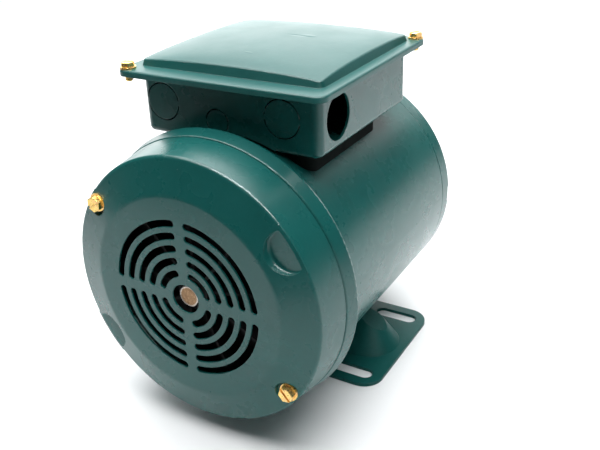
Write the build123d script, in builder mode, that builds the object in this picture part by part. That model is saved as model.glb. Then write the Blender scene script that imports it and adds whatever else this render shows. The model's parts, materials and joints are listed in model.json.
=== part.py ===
from build123d import *
import os
from math import asin, cos, degrees, radians, sin

# Foot-mounted single-phase motor with a ventilated fan end and a conduit box on top.
# Millimetres. +Z is up and the shaft runs along Y, with the drive end towards +Y.
# The origin is the centre of the four foot slots, on the underside of the base.
os.makedirs("parts", exist_ok=True)

# ---- driving dimensions -------------------------------------------------------------------
SHAFT_HEIGHT = 88.9            # shaft centre above the mounting surface
SHELL_RADIUS = 75.1
SHELL_WALL = 2.0
SHELL_START = -88.0            # stations along Y: fan end negative, drive end positive
SHELL_END = 54.2
DRIVE_RIM = 66.2               # rear edge of the drive-end shield's skirt
FACE = -126.0                  # outer plane of the vent disc
COVER_END = -98.35
BAND_START = -97.9
SHEET = 1.2                    # pressed steel of the fan cover and conduit cover

VENT_DISC_RADIUS = 59.0
COVER_RIM = -120.3
COVER_RIM_RADIUS = 78.6
COVER_END_RADIUS = 81.2
BAND_RADIUS = (81.5, 83.9)     # end-shield band, fan side and shell side
VENT_RADII = [15.0 + 7.2 * ring for ring in range(5)]
VENT_WIDTH = 4.1
SPOKE_HALF = 4.94              # from a spoke's centre line to the middle of a slot's round end
HUB_HOLE = 8.4
FACE_SCREW_CIRCLE = 72.7
FACE_SCREW_ANGLES = (144.0, -36.0)
DENT_CIRCLE = 75.0
DENT_ANGLES = (33.5, 213.5)
DENT_RADIUS = 12.6             # outside the drafted wall
DENT_FLOOR = 11.7
SEAT_RADIUS = 6.4
FACE_SCREW_RADIUS, FACE_SCREW_LENGTH = 2.35, 20.0
POCKET_FLOOR = -120.8
POCKET_DRAFT, POCKET_FILLET = 12.0, 1.5

BOLT_CIRCLE = 67.0
BOLT_ANGLES = (45.0, 135.0, 225.0, 315.0)
BOLT_RADIUS = 2.4

BASE_X, BASE_Y, BASE_PLATE = 145.8, 92.6, 2.2
BASE_CORNER = 13.0
SLOT_X, SLOT_Y = 104.0, 69.85  # centre to centre
SLOT_LENGTH, SLOT_WIDTH = 28.7, 9.5

BOX_X, BOX_FRONT, BOX_BACK = 112.6, -76.8, 32.2
BOX_BOTTOM, BOX_TOP, BOX_WALL = 159.3, 194.8, 1.5
BOX_CORNER, BOX_FILLET = 5.0, 3.0
CONDUIT_Y, CONDUIT_Z, CONDUIT_RADIUS = -56.2, 176.8, 12.85
LID_X, LID_FRONT, LID_BACK = 129.2, -88.2, 42.9
LID_TOP, LID_LIP = 197.0, 193.4
PAD = 2.0                      # rubber between shell and box floor at the crest
LEAD_HOLE_Y = -42.0
LEAD_HOLE = 8.0

STACK_START, STACK_END = -30.0, 32.0
STATOR_BORE = 43.5
SLOTS = 24
AIR_GAP = 0.4
ROTOR_BARS = 32

FAN_TIP = -123.0               # bare shaft end behind the hub hole
FAN_SHAFT = 6.35
BEARING_SEAT = 8.5
SHAFT_BODY = 10.0
SHOULDER = 104.8
EXTENSION = 47.6
EXTENSION_RADIUS = 7.9375      # 5/8 in
FAN_BEARING, DRIVE_BEARING, BEARING_WIDTH = -89.5, 83.5, 12.0   # fan-side faces, 6203 size
BEARING_OUTER, BALL_CIRCLE, BALL_RADIUS, BALLS = 20.0, 14.25, 3.37, 8

GOVERNOR_PIVOT, GOVERNOR_PIVOT_RADIUS = -58.0, 25.0
SWITCH_PIVOT_STATION, SWITCH_PIVOT_RADIUS = -71.2, 40.0

SHAFT_AXIS = Axis((0, 0, SHAFT_HEIGHT), (0, 1, 0))
SIDE = Plane(origin=(0, 0, SHAFT_HEIGHT), x_dir=(0, 1, 0), z_dir=(1, 0, 0))   # (station, radius)


def facing(station):
    """A plane square to the shaft that faces the fan end: x to the right, y up.
    A negative extrusion from it runs towards the drive end."""
    return Plane(origin=(0, station, SHAFT_HEIGHT), x_dir=(1, 0, 0), z_dir=(0, -1, 0))


def ring_places(radius, angles):
    return [(radius * cos(radians(a)), radius * sin(radians(a))) for a in angles]


def save(piece, name):
    piece.part.label = name
    export_step(piece.part, f"parts/{name}.step")


FACE_SCREWS = ring_places(FACE_SCREW_CIRCLE, FACE_SCREW_ANGLES)
DENTS = ring_places(DENT_CIRCLE, DENT_ANGLES)
BOLTS = ring_places(BOLT_CIRCLE, BOLT_ANGLES)
BOX_MIDDLE = (BOX_FRONT + BOX_BACK) / 2
LID_MIDDLE = (LID_FRONT + LID_BACK) / 2
BOX_SCREWS = [(0, BOX_FRONT + 12), (0, BOX_BACK - 22)]
SCREW_RADIUS = 2.05            # small screws of the conduit box, its cover and its fixings

# ---- shell ---------------------------------------------------------------------------------
with BuildPart() as shell:
    with BuildSketch(facing(SHELL_START)):
        Circle(SHELL_RADIUS)
        Circle(SHELL_RADIUS - SHELL_WALL, mode=Mode.SUBTRACT)
    extrude(amount=SHELL_START - SHELL_END)
    drive_end_edges = shell.edges().group_by(Axis.Y)[-1]
    chamfer(drive_end_edges.sort_by(SortBy.LENGTH)[-1], 0.4)
    with BuildSketch(Plane.XY.offset(SHAFT_HEIGHT)):
        with Locations((0, LEAD_HOLE_Y)):
            Circle(LEAD_HOLE)
        with Locations(BOX_SCREWS):
            Circle(SCREW_RADIUS + 0.05)
    extrude(amount=SHELL_RADIUS + 1, mode=Mode.SUBTRACT)
save(shell, "shell")

# ---- stamped base: a plate with slotted feet and a pressed saddle that carries the shell ----
GUSSET_X, GUSSET_Y, GUSSET_RISE, GUSSET_DRAFT = 139.0, 44.0, 26.0, 35.0
RAMP_X, RAMP_Z, RAMP_RISE, RAMP_RUN = 58.0, 15.0, 11.0, 20.0
BASE_SHEET = 2.0


def saddle_form(inset):
    """The saddle's drafted hump under the shell, inset from its outer surface on every side."""
    with BuildPart() as form:
        with BuildSketch():
            SlotOverall(GUSSET_X - 2 * inset, GUSSET_Y - 2 * inset)
        extrude(amount=GUSSET_RISE - inset, taper=GUSSET_DRAFT)
        with BuildSketch(Plane.XZ):
            Polygon(
                (RAMP_X + RAMP_RUN, 0),
                (RAMP_X, RAMP_Z - inset),
                (RAMP_X - RAMP_RUN, RAMP_Z - inset + RAMP_RISE),
                (RAMP_RUN - RAMP_X, RAMP_Z - inset + RAMP_RISE),
                (-RAMP_X, RAMP_Z - inset),
                (-RAMP_X - RAMP_RUN, 0),
                align=None,
            )
        extrude(amount=GUSSET_Y, both=True, mode=Mode.INTERSECT)
        with BuildSketch(facing(-BASE_Y)):
            Circle(SHELL_RADIUS + inset)
        extrude(amount=-2 * BASE_Y, mode=Mode.SUBTRACT)
    return form.part


saddle_outside, saddle_inside = saddle_form(0), saddle_form(BASE_SHEET)
with BuildPart() as foot_base:
    with BuildSketch():
        RectangleRounded(BASE_X, BASE_Y, BASE_CORNER)
    extrude(amount=BASE_PLATE)
    add(saddle_outside)
    add(saddle_inside, mode=Mode.SUBTRACT)
    with BuildSketch():
        with GridLocations(SLOT_X, SLOT_Y, 2, 2):
            SlotOverall(SLOT_LENGTH, SLOT_WIDTH)
    extrude(amount=BASE_PLATE, mode=Mode.SUBTRACT)
save(foot_base, "foot_base")

# ---- fan cover: deep-drawn, with a vent disc, two scooped dents and two screw seats ----------
COVER_OUTSIDE = [
    (FACE, 0),
    (FACE, VENT_DISC_RADIUS),
    (COVER_RIM, COVER_RIM_RADIUS),
    (COVER_END, COVER_END_RADIUS),
]
with BuildPart() as pocket_walls:
    with BuildSketch(SIDE):
        Polygon(*COVER_OUTSIDE, (COVER_END, 0), align=None)
    revolve(axis=SHAFT_AXIS)
    with BuildSketch(facing(FACE - 1)):
        with Locations(DENTS):
            Circle(DENT_RADIUS + SHEET)
        with Locations(FACE_SCREWS):
            Circle(SEAT_RADIUS + SHEET)
    extrude(amount=FACE - 1 - POCKET_FLOOR - SHEET, mode=Mode.INTERSECT)


def pressed_pocket(radius):
    """The space of a round pocket pressed into the cover: drafted sides and a rounded floor edge."""
    with BuildPart() as space:
        with BuildSketch(facing(POCKET_FLOOR)):
            Circle(radius)
        extrude(amount=POCKET_FLOOR - FACE + 1, taper=-POCKET_DRAFT)
        fillet(space.edges().group_by(Axis.Y)[-1], POCKET_FILLET)
    return space.part


POCKETS = ((pressed_pocket(DENT_FLOOR), DENTS), (pressed_pocket(SEAT_RADIUS), FACE_SCREWS))
VENT_DEPTH = 8.0               # the cut goes through the disc and stops short of the fan
with BuildPart() as fan_cover:
    with BuildSketch(SIDE):
        with BuildLine():
            FilletPolyline(
                (FACE, HUB_HOLE),
                (FACE, VENT_DISC_RADIUS),
                (COVER_RIM, COVER_RIM_RADIUS),
                (COVER_END, COVER_END_RADIUS),
                (COVER_END, COVER_END_RADIUS - SHEET),
                (COVER_RIM + SHEET, COVER_RIM_RADIUS - SHEET),
                (FACE + SHEET, VENT_DISC_RADIUS - SHEET / 6),
                (FACE + SHEET, HUB_HOLE),
                close=True,
                radius=[0.3, 8.0, 2.2, 0.3, 0.3, 1.0, 8.0 - SHEET, 0.3],
            )
        make_face()
    revolve(axis=SHAFT_AXIS)
    add(pocket_walls.part)
    for pocket, places in POCKETS:
        with Locations(*[Location((x, 0, z)) for x, z in places]):
            add(pocket, mode=Mode.SUBTRACT)
    with BuildSketch(facing(FACE - 1)):
        with Locations(FACE_SCREWS):
            Circle(FACE_SCREW_RADIUS + 0.25)
        for ring in VENT_RADII:
            end_angle = degrees(asin(SPOKE_HALF / ring))
            for quarter in range(4):
                middle_line = Edge.make_circle(
                    ring,
                    start_angle=90 * quarter + end_angle,
                    end_angle=90 * quarter + 90 - end_angle,
                )
                SlotArc(middle_line, VENT_WIDTH)
    extrude(amount=-VENT_DEPTH, mode=Mode.SUBTRACT)
save(fan_cover, "fan_cover")

# ---- slotted hex-washer screws: fan cover, conduit cover, ground ------------------------------


def slotted_hex_screw(shank_radius, shank_length, flange_radius, across_flats, head_height):
    """A screw standing on its flange's underside, head up along +Z, with a straight slot."""
    slot_width, slot_depth = 1.3, 1.5
    with BuildPart() as screw:
        with BuildSketch(Plane.XY):
            Circle(flange_radius)
        extrude(amount=1.0, taper=8)
        with BuildSketch(Plane.XY):
            RegularPolygon(across_flats / 2, 6, major_radius=False)
        extrude(amount=head_height)
        chamfer(screw.edges().group_by(Axis.Z)[-1], 0.35)
        with BuildSketch(Plane.XY.offset(head_height - slot_depth)):
            Rectangle(2 * flange_radius, slot_width)
        extrude(amount=slot_depth, mode=Mode.SUBTRACT)
        with BuildSketch(Plane.XY):
            Circle(shank_radius)
        extrude(amount=-shank_length)
        chamfer(screw.edges().group_by(Axis.Z)[0], 0.5)
    return screw.part


FACE_SCREW_TURNS = (28.0, -50.0)
face_screw = slotted_hex_screw(FACE_SCREW_RADIUS, FACE_SCREW_LENGTH, 5.3, 8.0, 4.3)
with BuildPart() as fan_cover_screws:
    for place, turn in zip(FACE_SCREWS, FACE_SCREW_TURNS):
        with Locations(facing(POCKET_FLOOR)):
            with Locations(Location((place[0], place[1], 0), (0, 0, turn))):
                add(face_screw)
save(fan_cover_screws, "fan_cover_screws")

# ---- fan-end shield: painted band, open web, bearing hub, cover posts --------------------------
WEB_START, WEB_END = -92.0, SHELL_START
HUB_RADIUS = 26.0
SPOKES = 6
SPOKE_WIDTH = 10.0
WINDOW_RADII = (33.0, 59.0)
SWITCH_STANDOFFS = ring_places(40.0, (30.0, 150.0))
SWITCH_BOARD = -74.5
SWITCH_SCREW = 1.5
POST_RADIUS, STANDOFF_RADIUS = 3.9, 4.5
with BuildPart() as fan_end_shield:
    with BuildSketch(SIDE):
        with BuildLine():
            FilletPolyline(
                (BAND_START, 78.2),
                (BAND_START, BAND_RADIUS[0]),
                (SHELL_START, BAND_RADIUS[1]),
                (SHELL_START, 73.0),
                (SHELL_START + 7, 73.0),
                (SHELL_START + 7, 69.9),
                (WEB_END, 69.9),
                (WEB_END, HUB_RADIUS),
                (-75.0, HUB_RADIUS - 1),
                (-75.0, BEARING_OUTER + 0.01),
                (-91.2, BEARING_OUTER + 0.01),
                (-91.2, 10.0),
                (-95.0, 10.0),
                (-95.0, HUB_RADIUS - 1),
                (WEB_START, HUB_RADIUS + 2),
                (WEB_START, 77.0),
                close=True,
                radius=[0.4, 0.9, 1.6, 0, 0.5, 0.5, 0, 1.0, 0.8, 0.3, 0, 0.5, 0.5, 1.0, 1.0, 0],
            )
        make_face()
    revolve(axis=SHAFT_AXIS)
    with BuildSketch(facing(WEB_START - 1)) as windows:
        Circle(WINDOW_RADII[1])
        Circle(WINDOW_RADII[0], mode=Mode.SUBTRACT)
        with PolarLocations(0, SPOKES, start_angle=30):
            Rectangle(80, SPOKE_WIDTH, align=(Align.MIN, Align.CENTER), mode=Mode.SUBTRACT)
        fillet(windows.vertices(), 2.5)
    extrude(amount=-6, mode=Mode.SUBTRACT)
    with BuildSketch(facing(WEB_START)):
        with Locations(FACE_SCREWS):
            Circle(POST_RADIUS)
    extrude(amount=WEB_START - POCKET_FLOOR - SHEET)
    with BuildSketch(facing(WEB_END)):
        with Locations(SWITCH_STANDOFFS):
            Circle(STANDOFF_RADIUS)
    extrude(amount=WEB_END - SWITCH_BOARD)
    with BuildSketch(facing(POCKET_FLOOR)):
        with Locations(FACE_SCREWS):
            Circle(FACE_SCREW_RADIUS + 0.05)
    extrude(amount=-FACE_SCREW_LENGTH - 0.5, mode=Mode.SUBTRACT)
    with BuildSketch(facing(WEB_START)):
        with Locations(BOLTS):
            Circle(BOLT_RADIUS + 0.2)
    extrude(amount=-10, mode=Mode.SUBTRACT)
    with BuildSketch(facing(SWITCH_BOARD)):
        with Locations(SWITCH_STANDOFFS):
            Circle(SWITCH_SCREW + 0.05)
    extrude(amount=8, mode=Mode.SUBTRACT)
save(fan_end_shield, "fan_end_shield")

# ---- drive-end shield: skirt flush with the shell, sloping vented face, bearing hub -------------
RIM_NOTCH_Z, RIM_NOTCH, NOTCH_X, NOTCH_Y = 87.6, 11.0, 9.0, 5.0
VENT_COUNT, VENT_CIRCLE, VENT_SPAN, VENT_HEIGHT = 8, 46.0, 30.0, 9.0
PAD_CIRCLE = 5.2               # boss behind each through-bolt nut
with BuildPart() as drive_end_shield:
    with BuildSketch(SIDE):
        with BuildLine():
            FilletPolyline(
                (SHELL_END, 73.0),
                (SHELL_END, SHELL_RADIUS),
                (DRIVE_RIM, SHELL_RADIUS),
                (DRIVE_RIM + 1.5, 60.0),
                (86.0, 31.0),
                (99.3, 27.0),
                (99.3, 10.2),
                (DRIVE_BEARING + BEARING_WIDTH, 10.2),
                (DRIVE_BEARING + BEARING_WIDTH, BEARING_OUTER + 0.01),
                (79.5, BEARING_OUTER + 0.01),
                (79.5, 29.0),
                (DRIVE_RIM - 2.5, 59.0),
                (DRIVE_RIM - 3.5, 69.9),
                (SHELL_END - 5, 69.9),
                (SHELL_END - 5, 73.0),
                close=True,
                radius=[0, 0.4, 2.0, 5.0, 5.0, 2.0, 0.5, 0, 0.3, 0.5, 2.0, 4.0, 2.0, 0.5, 0.5],
            )
        make_face()
    revolve(axis=SHAFT_AXIS)
    with BuildSketch(facing(SHELL_END)):
        for index in range(VENT_COUNT):
            vent_start = 360 / VENT_COUNT * index - VENT_SPAN / 2
            middle_line = Edge.make_circle(
                VENT_CIRCLE, start_angle=vent_start, end_angle=vent_start + VENT_SPAN
            )
            SlotArc(middle_line, VENT_HEIGHT)
    extrude(amount=-60, mode=Mode.SUBTRACT)
    with BuildSketch(Plane.XY.offset(RIM_NOTCH_Z - RIM_NOTCH / 2)):
        with GridLocations(2 * SHELL_RADIUS, 0, 2, 1):
            with Locations((0, DRIVE_RIM)):
                Rectangle(NOTCH_X, NOTCH_Y)
    extrude(amount=RIM_NOTCH, mode=Mode.SUBTRACT)
    with BuildSketch(facing(SHELL_END)):
        with Locations(BOLTS):
            Circle(PAD_CIRCLE)
    extrude(amount=SHELL_END - DRIVE_RIM)
    with BuildSketch(facing(SHELL_END - 1)):
        with Locations(BOLTS):
            Circle(BOLT_RADIUS + 0.2)
    extrude(amount=-20, mode=Mode.SUBTRACT)
    with BuildSketch(facing(DRIVE_RIM)):
        with Locations(BOLTS):
            Circle(PAD_CIRCLE + 0.2)
    extrude(amount=-6, mode=Mode.SUBTRACT)
save(drive_end_shield, "drive_end_shield")

# ---- through bolts and nuts -------------------------------------------------------------------
BOLT_END = DRIVE_RIM + 5.0
BOLT_FLATS, BOLT_HEAD, NUT_HEIGHT = 8.0, 3.6, 3.4
with BuildPart() as through_bolts:
    with BuildSketch(facing(WEB_START)):
        with Locations(BOLTS):
            RegularPolygon(BOLT_FLATS / 2, 6, major_radius=False)
    extrude(amount=BOLT_HEAD)
    with BuildSketch(facing(WEB_START)):
        with Locations(BOLTS):
            Circle(BOLT_RADIUS)
    extrude(amount=WEB_START - BOLT_END)
save(through_bolts, "through_bolts")

with BuildPart() as through_bolt_nuts:
    with BuildSketch(facing(DRIVE_RIM)):
        with Locations(BOLTS):
            RegularPolygon(BOLT_FLATS / 2, 6, major_radius=False)
            Circle(BOLT_RADIUS, mode=Mode.SUBTRACT)
    extrude(amount=-NUT_HEIGHT)
save(through_bolt_nuts, "through_bolt_nuts")

# ---- stator: core, slot liners, two windings, wedges -------------------------------------------
BACK_IRON = SHELL_RADIUS - SHELL_WALL
SLOT_MOUTH, SLOT_SHOULDER, SLOT_FLOOR = 45.2, 46.2, 60.5
LINER = 0.3


def slot_outline(inset, inner, outer):
    """One stator slot between two radii, with local x along the radius."""

    def half(radius):
        return 3.0 + 1.9 * (radius - SLOT_SHOULDER) / (SLOT_FLOOR - SLOT_SHOULDER) - inset

    return [(inner, -half(inner)), (outer, -half(outer)), (outer, half(outer)), (inner, half(inner))]


with BuildPart() as stator_core:
    with BuildSketch(facing(STACK_START)):
        Circle(BACK_IRON)
        Circle(STATOR_BORE, mode=Mode.SUBTRACT)
        with PolarLocations(0, SLOTS):
            Polygon(*slot_outline(0, SLOT_SHOULDER, SLOT_FLOOR), align=None, mode=Mode.SUBTRACT)
            Polygon(
                (STATOR_BORE - 1, -1.2),
                (SLOT_MOUTH, -1.2),
                (SLOT_SHOULDER, -3.0),
                (SLOT_SHOULDER, 3.0),
                (SLOT_MOUTH, 1.2),
                (STATOR_BORE - 1, 1.2),
                align=None,
                mode=Mode.SUBTRACT,
            )
        with Locations(BOLTS):
            Circle(BOLT_RADIUS + 0.5, mode=Mode.SUBTRACT)
    extrude(amount=STACK_START - STACK_END)
save(stator_core, "stator_core")

with BuildPart() as slot_liners:
    with BuildSketch(facing(STACK_START - 2.5)):
        with PolarLocations(0, SLOTS):
            Polygon(*slot_outline(0, SLOT_SHOULDER + 1.6, SLOT_FLOOR), align=None)
            Polygon(
                *slot_outline(LINER, SLOT_SHOULDER + 1, SLOT_FLOOR - LINER),
                align=None,
                mode=Mode.SUBTRACT,
            )
    extrude(amount=STACK_START - STACK_END - 5)
save(slot_liners, "slot_liners")

with BuildPart() as slot_wedges:
    with BuildSketch(facing(STACK_START - 1.5)):
        with PolarLocations(0, SLOTS):
            Polygon(*slot_outline(0.3, SLOT_SHOULDER + 0.1, SLOT_SHOULDER + 1.3), align=None)
    extrude(amount=STACK_START - STACK_END - 3)
save(slot_wedges, "slot_wedges")


def winding(bar_radii, ring_radii, overhang, corner):
    """Slot conductors joined by a rounded end-turn ring at each end of the stack."""
    clear = 4.0
    with BuildPart() as coil:
        with BuildSketch(facing(STACK_START - clear - 1)):
            with PolarLocations(0, SLOTS):
                Polygon(*slot_outline(LINER + 0.1, *bar_radii), align=None)
        extrude(amount=STACK_START - STACK_END - 2 * clear - 2)
        for station in (STACK_START - clear - overhang, STACK_END + clear):
            with BuildSketch(SIDE):
                with BuildLine():
                    FilletPolyline(
                        (station, ring_radii[0]),
                        (station + overhang, ring_radii[0]),
                        (station + overhang, ring_radii[1]),
                        (station, ring_radii[1]),
                        close=True,
                        radius=corner,
                    )
                make_face()
            revolve(axis=SHAFT_AXIS)
    return coil


main_winding = winding((54.0, 60.0), (53.6, 63.4), 17.0, 3.5)
save(main_winding, "main_winding")
start_winding = winding((47.8, 53.2), (46.8, 53.2), 13.0, 2.4)
save(start_winding, "start_winding")

# ---- rotor core and cast cage ------------------------------------------------------------------
ROTOR_RADIUS = STATOR_BORE - AIR_GAP
BAR_CIRCLE, BAR_RADIUS = 38.6, 2.6
ROTOR_SHAFT = 11.0
END_RING, FIN = 8.0, 7.0
END_RING_RADII = (30.0, 42.0)
with BuildPart() as rotor_core:
    with BuildSketch(facing(STACK_START)):
        Circle(ROTOR_RADIUS)
        Circle(ROTOR_SHAFT, mode=Mode.SUBTRACT)
        with PolarLocations(BAR_CIRCLE, ROTOR_BARS):
            Circle(BAR_RADIUS, mode=Mode.SUBTRACT)
    extrude(amount=STACK_START - STACK_END)
save(rotor_core, "rotor_core")

with BuildPart() as rotor_cage:
    with BuildSketch(facing(STACK_START)):
        with PolarLocations(BAR_CIRCLE, ROTOR_BARS):
            Circle(BAR_RADIUS)
    extrude(amount=STACK_START - STACK_END)
    for station, length in ((STACK_START, END_RING), (STACK_END, -END_RING)):
        with BuildSketch(facing(station)):
            Circle(END_RING_RADII[1])
            Circle(END_RING_RADII[0], mode=Mode.SUBTRACT)
        extrude(amount=length)
        with BuildSketch(facing(station + (-END_RING if length > 0 else END_RING))):
            with PolarLocations(sum(END_RING_RADII) / 2, 8):
                Rectangle(9.0, 2.6)
        extrude(amount=FIN if length > 0 else -FIN)
save(rotor_cage, "rotor_cage")

# ---- shaft -------------------------------------------------------------------------------------
CLIP = -119.4
KEYWAY_START, KEYWAY_LENGTH, KEYWAY_WIDTH, KEYWAY_FLOOR = 112.0, 35.7, 4.76, 5.19
with BuildPart() as shaft:
    with BuildSketch(SIDE):
        Polygon(
            (FAN_TIP, 0),
            (FAN_TIP, FAN_SHAFT - 0.5),
            (FAN_TIP + 0.5, FAN_SHAFT),
            (CLIP, FAN_SHAFT),
            (CLIP, FAN_SHAFT - 0.6),
            (CLIP + 1.3, FAN_SHAFT - 0.6),
            (CLIP + 1.3, FAN_SHAFT),
            (-96.0, FAN_SHAFT),
            (-96.0, BEARING_SEAT),
            (FAN_BEARING + BEARING_WIDTH, BEARING_SEAT),
            (FAN_BEARING + BEARING_WIDTH, SHAFT_BODY),
            (STACK_START - 2, SHAFT_BODY),
            (STACK_START - 2, ROTOR_SHAFT),
            (STACK_END + 2, ROTOR_SHAFT),
            (STACK_END + 2, SHAFT_BODY),
            (DRIVE_BEARING, SHAFT_BODY),
            (DRIVE_BEARING, BEARING_SEAT),
            (SHOULDER, BEARING_SEAT),
            (SHOULDER, EXTENSION_RADIUS),
            (SHOULDER + EXTENSION - 1, EXTENSION_RADIUS),
            (SHOULDER + EXTENSION, EXTENSION_RADIUS - 1),
            (SHOULDER + EXTENSION, 0),
            align=None,
        )
    revolve(axis=SHAFT_AXIS)
    with BuildSketch(Plane.XY.offset(SHAFT_HEIGHT + KEYWAY_FLOOR)):
        with Locations((0, KEYWAY_START + KEYWAY_LENGTH / 2)):
            SlotOverall(KEYWAY_LENGTH, KEYWAY_WIDTH, rotation=90)
    extrude(amount=6, mode=Mode.SUBTRACT)
save(shaft, "shaft")

# ---- ball bearings, one at each end -------------------------------------------------------------
GROOVE_RADIUS = BALL_RADIUS + 0.08
INNER_LAND, OUTER_LAND, SHIELD_LAND = 12.2, 16.3, 12.6


def race(start, inner, outer):
    with BuildPart() as ring:
        with BuildSketch(SIDE) as section:
            with Locations((start + BEARING_WIDTH / 2, (inner + outer) / 2)):
                Rectangle(BEARING_WIDTH, outer - inner)
            fillet(section.vertices(), 0.5)
            with Locations((start + BEARING_WIDTH / 2, BALL_CIRCLE)):
                Circle(GROOVE_RADIUS, mode=Mode.SUBTRACT)
        revolve(axis=SHAFT_AXIS)
    return ring


for end, start in (("fan_end", FAN_BEARING), ("drive_end", DRIVE_BEARING)):
    middle = start + BEARING_WIDTH / 2
    save(race(start, BEARING_SEAT, INNER_LAND), f"{end}_inner_race")
    save(race(start, OUTER_LAND, BEARING_OUTER), f"{end}_outer_race")
    with BuildPart() as balls:
        with Locations(facing(middle)):
            with PolarLocations(BALL_CIRCLE, BALLS):
                Sphere(BALL_RADIUS)
    save(balls, f"{end}_balls")
    with BuildPart() as ball_cage:
        with BuildSketch(SIDE):
            with Locations((middle, BALL_CIRCLE)):
                Rectangle(8.6, 2.0)
        revolve(axis=SHAFT_AXIS)
        with Locations(facing(middle)):
            with PolarLocations(BALL_CIRCLE, BALLS):
                Cylinder(BALL_RADIUS + 0.15, 8, rotation=(0, 90, 0), mode=Mode.SUBTRACT)
    save(ball_cage, f"{end}_ball_cage")
    with BuildPart() as bearing_shields:
        with BuildSketch(SIDE):
            with Locations((middle, (SHIELD_LAND + OUTER_LAND) / 2)):
                with GridLocations(BEARING_WIDTH - 1.2, 0, 2, 1):
                    Rectangle(0.4, OUTER_LAND - SHIELD_LAND)
        revolve(axis=SHAFT_AXIS)
    save(bearing_shields, f"{end}_bearing_shields")

with BuildPart() as preload_spring_washer:
    with BuildSketch(SIDE):
        Polygon(
            (-91.2, 16.0),
            (-90.8, 16.0),
            (FAN_BEARING, 19.4),
            (FAN_BEARING - 0.4, 19.4),
            align=None,
        )
    revolve(axis=SHAFT_AXIS)
save(preload_spring_washer, "preload_spring_washer")

with BuildPart() as bearing_snap_ring:
    with BuildSketch(facing(DRIVE_BEARING)):
        Circle(BEARING_OUTER)
        Circle(17.4, mode=Mode.SUBTRACT)
        with Locations((0, -BEARING_OUTER)):
            Rectangle(7, 8, mode=Mode.SUBTRACT)
    extrude(amount=1.2)
save(bearing_snap_ring, "bearing_snap_ring")

with BuildPart() as shaft_slinger:
    with BuildSketch(SIDE):
        Polygon(
            (99.9, 11.5),
            (100.7, 8.5),
            (103.8, 8.5),
            (103.8, 11.0),
            (101.6, 11.6),
            (100.2, 15.0),
            (99.6, 15.0),
            align=None,
        )
    revolve(axis=SHAFT_AXIS)
save(shaft_slinger, "shaft_slinger")

# ---- cooling fan and its retaining ring ---------------------------------------------------------
FAN_RADIUS, FAN_BLADES = 61.0, 9
BLADE_START, BLADE_HEIGHT, BLADE_SHEET = 12.0, 14.5, 1.8
FAN_BACK = -101.5
with BuildPart() as cooling_fan:
    with BuildSketch(SIDE):
        with BuildLine():
            FilletPolyline(
                (CLIP + 1.5, FAN_SHAFT),
                (CLIP + 1.5, 11.0),
                (FAN_BACK - 2.4, 14.0),
                (FAN_BACK - 2.0, FAN_RADIUS),
                (FAN_BACK, FAN_RADIUS),
                (FAN_BACK, FAN_SHAFT),
                close=True,
                radius=[0.3, 1.0, 3.0, 0.8, 0.8, 0.3],
            )
        make_face()
    revolve(axis=SHAFT_AXIS)
    with BuildSketch(facing(FAN_BACK - 1)):
        with PolarLocations(0, FAN_BLADES, start_angle=11):
            with Locations((BLADE_START, 0)):
                Rectangle(
                    FAN_RADIUS - 1 - BLADE_START, BLADE_SHEET, align=(Align.MIN, Align.CENTER)
                )
    extrude(amount=BLADE_HEIGHT)
save(cooling_fan, "cooling_fan")

with BuildPart() as fan_retaining_ring:
    with BuildSketch(facing(CLIP + 1.2)):
        Circle(9.4)
        Circle(FAN_SHAFT - 0.6, mode=Mode.SUBTRACT)
        Rectangle(7.6, 12, align=(Align.CENTER, Align.MAX), mode=Mode.SUBTRACT)
    extrude(amount=1.1)
save(fan_retaining_ring, "fan_retaining_ring")

# ---- centrifugal governor on the shaft ----------------------------------------------------------
PLATE_START, PLATE_END = -53.5, -52.0
WEIGHT_HALF = 6.0
GOVERNOR_PIN = 1.2
with BuildPart() as governor_plate:
    with BuildSketch(SIDE):
        Polygon(
            (PLATE_START, SHAFT_BODY),
            (PLATE_START, 20.0),
            (PLATE_END, 20.0),
            (PLATE_END, 13.5),
            (-48.0, 13.5),
            (-48.0, SHAFT_BODY),
            align=None,
        )
    revolve(axis=SHAFT_AXIS)
    with BuildSketch(facing(PLATE_END)):
        with GridLocations(16.6, 45.0, 2, 2):
            Rectangle(1.4, 11.0)
    extrude(amount=PLATE_END - GOVERNOR_PIVOT + 2)
    with BuildSketch(Plane.YZ):
        with Locations((GOVERNOR_PIVOT, SHAFT_HEIGHT)):
            with GridLocations(0, 2 * GOVERNOR_PIVOT_RADIUS, 1, 2):
                Circle(GOVERNOR_PIN)
    extrude(amount=12, both=True, mode=Mode.SUBTRACT)
save(governor_plate, "governor_plate")

with BuildPart() as governor_pins:
    with BuildSketch(Plane.YZ):
        with Locations((GOVERNOR_PIVOT, SHAFT_HEIGHT)):
            with GridLocations(0, 2 * GOVERNOR_PIVOT_RADIUS, 1, 2):
                Circle(GOVERNOR_PIN)
    extrude(amount=9.6, both=True)
save(governor_pins, "governor_pins")

WEIGHT_OUTLINE = [(1.4, -1.0), (9.0, -1.0), (9.0, 8.0), (1.4, 8.0)]
FINGER_OUTLINE = [(-1.6, 0.0), (1.4, 0.0), (-1.75, -9.8), (-3.25, -9.8)]
for name, side in (("governor_weight_upper", 1), ("governor_weight_lower", -1)):
    with BuildPart() as weight:
        with BuildSketch(Plane.YZ):
            with Locations((GOVERNOR_PIVOT, SHAFT_HEIGHT + side * GOVERNOR_PIVOT_RADIUS)):
                Circle(2.8)
            for outline in (WEIGHT_OUTLINE, FINGER_OUTLINE):
                corners = [
                    (GOVERNOR_PIVOT + y, SHAFT_HEIGHT + side * (GOVERNOR_PIVOT_RADIUS + z))
                    for y, z in outline
                ]
                Polygon(*corners, align=None)
            with Locations((GOVERNOR_PIVOT, SHAFT_HEIGHT + side * GOVERNOR_PIVOT_RADIUS)):
                Circle(GOVERNOR_PIN + 0.07, mode=Mode.SUBTRACT)
        extrude(amount=WEIGHT_HALF, both=True)
    save(weight, name)

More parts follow.
